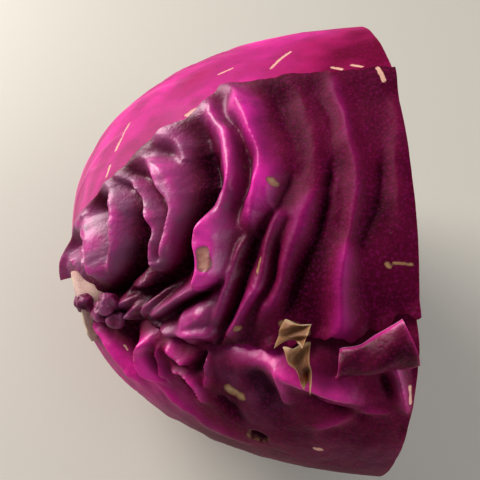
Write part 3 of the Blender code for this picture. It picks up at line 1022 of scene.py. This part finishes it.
# %% [markdown]
# ## Leaf skin
# A red cabbage leaf is maroon, and magenta where it is stretched over a fold. Its hollows are painted
# near black as painted shade, and its crests brighter, partly its own magenta and partly painted light.
# A grey bloom of wax dulls it in patches, and the same grey is painted on as sheen, mostly on the raised
# folds by the stem. Its cut edge is white flesh. One material recipe gives every leaf: a colour ramp
# reads the fold's height, noise shifts the hue, and the skin value finds the cut edge. Only the colours
# differ from leaf to leaf, so they are the recipe's arguments.


# %% Helpers for materials
def value_of(tree, name):
    """One of the values that a mesh carries on its points."""
    node = tree.nodes.new("ShaderNodeAttribute")
    node.attribute_name = name
    return Wire(tree, node.outputs["Fac"])


def mottle(tree, size, detail=2.0, seed=0.0):
    """Noise on the object's own coordinates, from 0 to 1."""
    where = Wire(tree, add(tree, "ShaderNodeTexCoord").outputs["Object"])
    shifted = add(tree, "ShaderNodeMapping", {"Vector": where, "Location": (seed, seed, seed)})
    texture = add(tree, "ShaderNodeTexNoise", {"Vector": Wire(tree, shifted.outputs[0]),
                                               "Scale": 1 / size, "Detail": detail})
    return Wire(tree, texture.outputs["Fac"])


def blend(tree, share, first, second, kind="MIX"):
    """Mixes two colours, each a wire or a plain colour."""
    node = add(tree, "ShaderNodeMix", data_type="RGBA", blend_type=kind)
    plug(tree, share, node.inputs["Factor"])
    for entry, colour in ((node.inputs[6], first), (node.inputs[7], second)):
        plug(tree, colour if isinstance(colour, Wire) else (*colour, 1), entry)
    return Wire(tree, node.outputs[2])


def ramp(tree, value, stops):
    """A colour looked up by a value, through (position, colour) stops."""
    node = add(tree, "ShaderNodeValToRGB")
    band = node.color_ramp
    while len(band.elements) < len(stops):
        band.elements.new(0.5)
    for element, (position, colour) in zip(band.elements, stops):
        element.position = position
        element.color = (*colour, 1)
    plug(tree, value, node.inputs[0])
    return Wire(tree, node.outputs[0])


def bumps(tree, shader, height, strength, distance):
    """Raises the finest relief, too small to be worth a mesh."""
    node = add(tree, "ShaderNodeBump", {"Height": height, "Strength": strength, "Distance": distance})
    tree.links.new(node.outputs[0], shader.inputs["Normal"])


def new_material(name):
    material = bpy.data.materials.new(name)
    material.use_nodes = True
    tree = material.node_tree
    return material, tree, tree.nodes["Principled BSDF"]


# %% Leaf skin
FLESH = (0.80, 0.66, 0.66)
CREAM = (0.82, 0.46, 0.34)
BROWN, GOLD, STRAW = (0.07, 0.02, 0.02), (0.36, 0.18, 0.085), (0.54, 0.36, 0.20)
# grey of the wax bloom, also used as painted sheen
WAX_AND_SHEEN_GREY = (0.23, 0.06, 0.145)
VEIN = (0.72, 0.20, 0.42)


def leaf_skin(name, shaded_hollow, body, crest, bloom_and_sheen=0.7, roughness=0.38, grain=0.4):
    """A leaf's skin, from the painted shade of its hollows through its body to its crests, partly painted
    light.
    """
    material, tree, shader = new_material(name)
    cloud, patchy = mottle(tree, 14 * MM), mottle(tree, 5 * MM, 4.0, 3.0)
    fine = mottle(tree, 0.7 * MM, 3.0)
    height = value_of(tree, "crest") * 0.5 + 0.5 + (cloud - 0.5) * 0.35
    between = [(low + high) / 3 for low, high in zip(body, crest)]
    # the fold's height picks the colour: painted shade in the hollows, painted light on the crests
    colour = ramp(tree, height, [(0.18, shaded_hollow), (0.42, body), (0.66, between), (0.95, crest)])
    colour = blend(tree, ease(patchy, 0.45, 0.75) * 0.3, colour, shaded_hollow)
    colour = blend(tree, ease(fine, 0.45, 0.8) * 0.12, colour, crest)

    # where the bloom shows, partly wax and partly painted sheen, the skin turns grey
    wax_and_sheen = value_of(tree, "bloom_and_sheen") * (0.35 + ease(patchy, 0.3, 0.7)) * bloom_and_sheen
    colour = blend(tree, smallest(wax_and_sheen, 0.85), colour, WAX_AND_SHEEN_GREY)
    colour = blend(tree, value_of(tree, "vein") * 0.55, colour, VEIN)
    crumb = mottle(tree, 1.3 * MM, 3.0, 7.0)
    dry = value_of(tree, "dry") + (patchy + crumb - 1) * 0.5
    gold = ramp(tree, dry * 0.6 + crumb * 0.4, [(0.35, BROWN), (0.74, GOLD), (1.0, STRAW)])
    colour = blend(tree, ease(dry, 0.2, 0.5) * 0.85, colour, gold)
    scarred = ease(value_of(tree, "scar") + (patchy + crumb - 1) * 0.9, 0.3, 0.75) * 0.85
    colour = blend(tree, scarred, colour, CREAM)
    skin = value_of(tree, "skin")
    band = ease(smallest(skin, 1 - skin), 0.06, 0.2)
    colour = blend(tree, band, colour, FLESH)
    plug(tree, colour, shader.inputs["Base Color"])
    dull = value_of(tree, "dull")
    plug(tree, roughness + wax_and_sheen * 0.16 + dull * 0.16 + (fine - 0.5) * 0.12, shader.inputs["Roughness"])
    # gloss fades out of the hollows, as painted shade
    gloss = (0.1 + ease(height, 0.15, 0.6) * 0.42) * (1 - dull * 0.8)
    plug(tree, gloss, shader.inputs["Specular IOR Level"])
    shader.inputs["Specular Tint"].default_value = (1.0, 0.72, 0.88, 1)
    plug(tree, ease(height, 0.4, 0.9) * (1 - dull) * 0.35, shader.inputs["Coat Weight"])
    shader.inputs["Coat Roughness"].default_value = 0.24
    shader.inputs["Subsurface Weight"].default_value = 0.12
    shader.inputs["Subsurface Scale"].default_value = 2.0 * MM
    bumps(tree, shader, fine * 0.5 + crumb * 0.9 + patchy * 1.3, grain, 0.45 * MM)
    return material


dark_skin = leaf_skin("dark wrapper leaf", (0.022, 0.0004, 0.004), (0.115, 0.0014, 0.026),
                      (0.80, 0.014, 0.36))
bright_skin = leaf_skin("bright wrapper leaf", (0.12, 0.0008, 0.022), (0.36, 0.0015, 0.095),
                        (0.84, 0.010, 0.34), bloom_and_sheen=0.45, roughness=0.46, grain=0.25)
rosy_skin = leaf_skin("rosy wrapper leaf", (0.028, 0.0005, 0.006), (0.135, 0.0014, 0.030),
                      (0.80, 0.014, 0.32))
gold_skin = leaf_skin("dried leaf", (0.10, 0.03, 0.02), (0.34, 0.17, 0.07), (0.60, 0.42, 0.22),
                      bloom_and_sheen=0.2, roughness=0.45)
print("four leaf skins")


# %% [markdown]
# ## The flesh of a packed leaf
# Cut across, a packed leaf is moist and nearly white between two thin purple skins. The skin value
# runs through the leaf from 0 to 1, so a band at both of its ends draws the skins, and what is left
# is flesh. The heart carries the same value across each fold, so it wears the same material.

# %% Packed leaf
def packed_skin():
    """Purple skins and moist white flesh, for the leaves that show on the cut."""
    material, tree, shader = new_material("packed leaf")
    cloud, fine = mottle(tree, 9 * MM), mottle(tree, 0.8 * MM, 3.0)
    purple = ramp(tree, cloud, [(0.3, (0.055, 0.004, 0.045)), (0.7, (0.17, 0.010, 0.11))])
    white = ramp(tree, fine, [(0.3, (0.84, 0.76, 0.78)), (0.65, (0.95, 0.92, 0.90))])
    skin = value_of(tree, "skin")
    band = smallest(skin, 1 - skin) + (fine - 0.5) * 0.08
    stained = blend(tree, ease(band, 0.09, 0.17), purple, (0.45, 0.10, 0.33))
    colour = blend(tree, ease(band, 0.14, 0.26), stained, white)
    plug(tree, colour, shader.inputs["Base Color"])
    plug(tree, 0.28 + fine * 0.2, shader.inputs["Roughness"])
    shader.inputs["Coat Weight"].default_value = 0.3
    shader.inputs["Coat Roughness"].default_value = 0.15
    bumps(tree, shader, fine, 0.25, 0.2 * MM)
    return material


inner_skin = packed_skin()
print("and one for the packed leaves")


# %% [markdown]
# ## The flesh of the stem
# The stem's end has dried to a woody cream, with rings of darker threads. A sine of the distance from
# the axis draws the rings, and noise breaks them up.

# %% Stem flesh
def stem_flesh():
    """Pale woody flesh with rings of threads, browned at the rim and in patches."""
    material, tree, shader = new_material("stem flesh")
    out, cloud, fine = value_of(tree, "out"), mottle(tree, 6 * MM), mottle(tree, 0.5 * MM, 3.0)
    colour = ramp(tree, fine, [(0.3, (0.62, 0.47, 0.30)), (0.6, (0.84, 0.72, 0.52))])
    threads = ease(sin((out + cloud * 0.1) * 55), 0.4, 1.0) * ease(fine, 0.35, 0.6)
    colour = blend(tree, threads * 0.45, colour, (0.42, 0.27, 0.14))
    colour = blend(tree, ease(cloud, 0.5, 0.8) * 0.5, colour, (0.40, 0.23, 0.12))
    colour = blend(tree, ease(out, 0.88, 1.0) * 0.6, colour, (0.45, 0.16, 0.20))
    plug(tree, colour, shader.inputs["Base Color"])
    plug(tree, 0.55 + fine * 0.2, shader.inputs["Roughness"])
    bumps(tree, shader, fine + threads, 0.5, 0.25 * MM)
    return material


stem_skin = stem_flesh()
print("and one for the stem")


# %% [markdown]
# ## Dressing the outer pieces
# Each finished piece takes a material, rides on the one body there is, for a cabbage has no joints,
# and hides the solid of the frame that it stands for.

# %% Dress the wrapper leaves
def dress(obj, material, slot, *replaced):
    """Gives a piece its material, puts it on the root body and hides the solids of the frame it replaces.
    """
    if material is not None:
        obj.data.materials.clear()
        obj.data.materials.append(material)
    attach(obj, "root")
    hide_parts(*replaced)


dress(pleated, dark_skin, "dark_leaf", "pleated_wrapper_leaf")
dress(smooth, bright_skin, "bright_leaf", "smooth_wrapper_leaf")
dress(lower, rosy_skin, "rosy_leaf", "lower_wrapper_leaf")
dress(flap, rosy_skin, "rosy_leaf", "folded_flap")
dress(scrap, gold_skin, "dry_leaf", "dried_scrap")
dress(stem, stem_skin, "stem_flesh", "stem_and_core")

# %% [markdown]
# ## Growing the inside
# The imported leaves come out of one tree, fourteen times with a new number. Each is made a plain mesh
# at once, so nothing is left to work out later and the pieces can be pulled apart like real leaves.

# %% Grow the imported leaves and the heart
for number in range(LAYERS):
    name = f"packed_leaf_{number + 1:02d}"
    grown = grow(name + "_skin", packed_tree, {"Number": number, "Material": inner_skin})
    dress(grown, None, "packed_leaf", name)
heart = grow("folded_heart_skin", heart_nodes, {"Material": inner_skin})
dress(heart, None, "packed_leaf", "folded_heart")
print("the heart has", len(heart.data.polygons), "faces, and a packed leaf", len(grown.data.polygons))

# %% [markdown]
# ## Stage, light and camera
# The head lies on a plain pale floor, lit by a soft window on one side and a weaker light on the
# other. Large soft lights keep the gloss broad, as on a real leaf. The camera looks down from the
# front, close enough that the near side looms a little.

# %% Stage, light and camera
bpy.ops.mesh.primitive_plane_add(size=4)
floor = bpy.context.object
floor.name = "pale_floor"
plain, _, shader = new_material("pale floor")
shader.inputs["Base Color"].default_value = (0.50, 0.465, 0.405, 1)
shader.inputs["Roughness"].default_value = 0.6
floor.data.materials.append(plain)

world = bpy.data.worlds.new("studio")
world.use_nodes = True
sky = world.node_tree.nodes["Background"]
sky.inputs["Color"].default_value = (0.9, 0.95, 1.0, 1)
sky.inputs["Strength"].default_value = 0.28
bpy.context.scene.world = world


LIT_SPOT = np.array([0, 0, 0.05])


def soft_light(name, place, size, watts, colour):
    """A rectangle of light, turned towards the head."""
    light = bpy.data.lights.new(name, "AREA")
    light.shape = "RECTANGLE"
    light.size, light.size_y = size
    light.energy = watts
    light.color = colour
    obj = bpy.data.objects.new(name, light)
    obj.location = place
    way = LIT_SPOT - np.array(place)
    tip = math.atan2(math.hypot(way[0], way[1]), -way[2])
    obj.rotation_euler = (tip, 0, math.atan2(-way[0], way[1]))
    bpy.context.scene.collection.objects.link(obj)


soft_light("window", (-0.75, 0.55, 0.65), (0.8, 0.6), 19, (1.0, 0.97, 0.93))
soft_light("fill", (0.95, -0.35, 0.45), (1.0, 0.8), 9, (0.93, 0.96, 1.0))

camera_data = bpy.data.cameras.new("camera")
camera = bpy.data.objects.new("camera", camera_data)
bpy.context.scene.collection.objects.link(camera)
bpy.context.scene.camera = camera
camera_data.sensor_width = 36
FOCAL_SHARE = 517 / 480
camera_data.lens = camera_data.sensor_width * FOCAL_SHARE
CAMERA_OFFSET = np.array([-40, -108.5, 140.5]) * MM
tilt, heading = math.radians(36.3), math.radians(87.7)
lean = math.sin(tilt)
third = np.array([lean * math.cos(heading), lean * math.sin(heading), math.cos(tilt)])
first = np.array([1.0, 0, 0]) - third * third[0]
first /= np.linalg.norm(first)
matrix = Matrix([first.tolist(), np.cross(third, first).tolist(), third.tolist()]).to_4x4()
matrix.translation = CENTRE + CAMERA_OFFSET
camera.matrix_world = matrix
camera_data.dof.use_dof = False
bpy.context.scene.view_settings.view_transform = "Standard"
